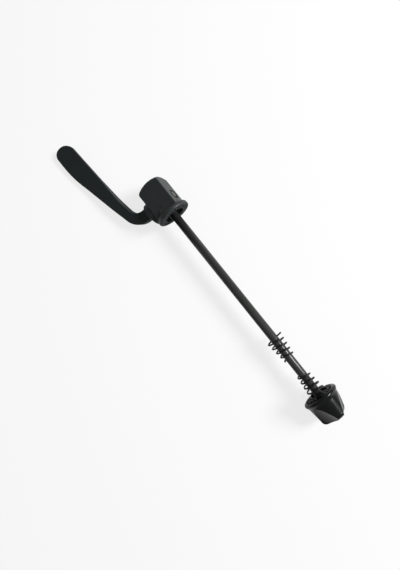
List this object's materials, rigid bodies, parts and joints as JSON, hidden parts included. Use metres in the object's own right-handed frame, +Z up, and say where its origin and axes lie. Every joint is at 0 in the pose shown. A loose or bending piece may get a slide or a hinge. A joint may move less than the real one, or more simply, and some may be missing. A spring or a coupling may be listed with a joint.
{
  "type": "quick release skewer",
  "caption": "Bicycle wheel quick release skewer: a rod with a cam head and cranked lever, conical springs and a scalloped nut with serrated faces.",
  "frame": {"origin": "on the rod's axis, in the plane of the head's clamping face", "axes": "+X along the rod from the head to the nut, +Z up from the table it lies on"},
  "size_m": [0.229, 0.0462, 0.021],
  "materials": {
    "head_black": "satin black anodised casting",
    "lever_black": "satin black anodised forging",
    "rod_steel": "satin black oxide",
    "cam_steel": "turned steel",
    "clip_steel": "bright spring steel",
    "spring_steel": "black spring wire",
    "nut_black": "gloss black moulding",
    "core_steel": "black oxide, serrated face",
    "lock_nylon": "natural nylon"
  },
  "bodies": {
    "head": {"housing": "head_black"},
    "lever": {"lever": "lever_black", "cam_shaft": "cam_steel", "cam_clip": "clip_steel"},
    "rod": {"skewer_rod": "rod_steel"},
    "lever_spring": {"lever_spring": "spring_steel"},
    "nut_spring": {"nut_spring": "spring_steel"},
    "nut": {"nut_cap": "nut_black", "nut_core": "core_steel", "nut_lock_ring": "lock_nylon"}
  },
  "joints": [
    {"name": "lever_turn", "type": "hinge", "parent": "head", "child": "lever", "pos_m": [-0.0096, 0, 0], "axis": [0, 0.9542, 0.299], "range_deg": [-91.67, 88.33]},
    {"name": "rod_slide", "type": "slide", "parent": "head", "child": "rod", "axis": [1, 0, 0], "range_m": [-0.00103, 0.00103]},
    {"name": "lever_spring_slide", "type": "slide", "parent": "rod", "child": "lever_spring", "axis": [1, 0, 0], "range_m": [-0.089, 0.002]},
    {"name": "nut_travel", "type": "slide", "parent": "rod", "child": "nut_spring", "axis": [1, 0, 0], "range_m": [-0.0065, 0.0065]},
    {"name": "nut_turn", "type": "hinge", "parent": "nut_spring", "child": "nut", "pos_m": [0.137, 0, 0], "axis": [1, 0, 0], "range_deg": [-2880, 2880]}
  ],
  "couplings": [
    {"joint": "rod_slide", "follows": "lever_turn", "m_per_rad": -0.00063662},
    {"joint": "nut_travel", "follows": "nut_turn", "m_per_rad": 0.00012732}
  ]
}
